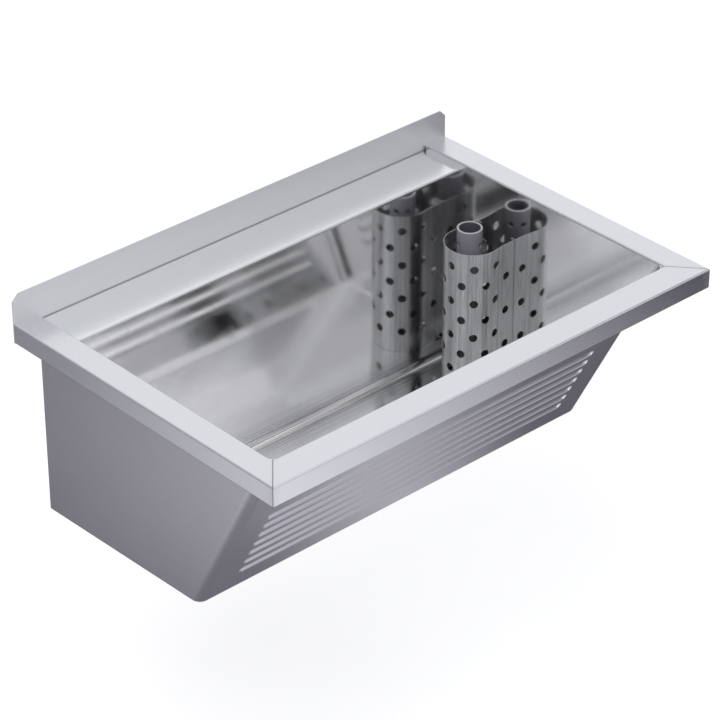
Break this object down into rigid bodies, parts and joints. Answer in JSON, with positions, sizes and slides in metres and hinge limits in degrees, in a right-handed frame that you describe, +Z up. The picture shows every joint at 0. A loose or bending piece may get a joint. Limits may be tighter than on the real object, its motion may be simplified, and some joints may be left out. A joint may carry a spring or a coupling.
{
  "type": "bedpan wash sink",
  "caption": "Wall-hung stainless steel bedpan wash and soak sink: flat rim, wall upstand, ribbed sloping front, lift-out standpipe and a perforated guard round it.",
  "frame": {"origin": "centre of the four wall fixing holes, on the wall plane", "axes": "+X along the sink towards its standpipe end, +Y into the wall, +Z up"},
  "size_m": [0.9, 0.6, 0.4732],
  "materials": {
    "rim_steel": "satin",
    "basin_steel": "polished inside, satin outside",
    "guard_steel": "brushed",
    "plated_steel": "dull zinc plate",
    "fastener_steel": "plain",
    "waste_metal": "polished",
    "pipe_plastic": "matt",
    "seal_plastic": "matt",
    "seal_rubber": "matt",
    "damping_rubber": "matt"
  },
  "bodies": {
    "sink": {"front_rim": "rim_steel", "left_rim": "rim_steel", "right_rim": "rim_steel", "rim_corner_webs": "rim_steel", "upstand": "rim_steel", "tap_ledge": "rim_steel", "front_panel": "basin_steel", "floor_panel": "basin_steel", "back_wall": "basin_steel", "left_end_panel": "basin_steel", "right_end_panel": "basin_steel", "front_stiffener": "plated_steel", "sound_pad": "damping_rubber", "left_wall_bracket": "plated_steel", "right_wall_bracket": "plated_steel", "ledge_studs": "fastener_steel", "bracket_washers": "fastener_steel", "bracket_nuts": "fastener_steel", "earth_tab": "plated_steel", "earth_screw": "fastener_steel", "earth_nut": "fastener_steel", "waste_body": "waste_metal", "upper_waste_gasket": "seal_rubber", "lower_waste_gasket": "seal_rubber", "waste_slip_washer": "seal_plastic", "waste_locknut": "waste_metal", "guard_clips": "guard_steel"},
    "guard": {"perforated_guard": "guard_steel"},
    "standpipe": {"standpipe_tube": "pipe_plastic", "standpipe_spigot": "pipe_plastic", "standpipe_o_ring": "seal_rubber"}
  },
  "joints": [
    {"name": "standpipe_lift", "type": "slide", "parent": "sink", "child": "standpipe", "axis": [0, 0, 1], "range_m": [0, 0.44]},
    {"name": "guard_lift", "type": "slide", "parent": "sink", "child": "guard", "axis": [0, 0, 1], "range_m": [0, 0.42]}
  ]
}
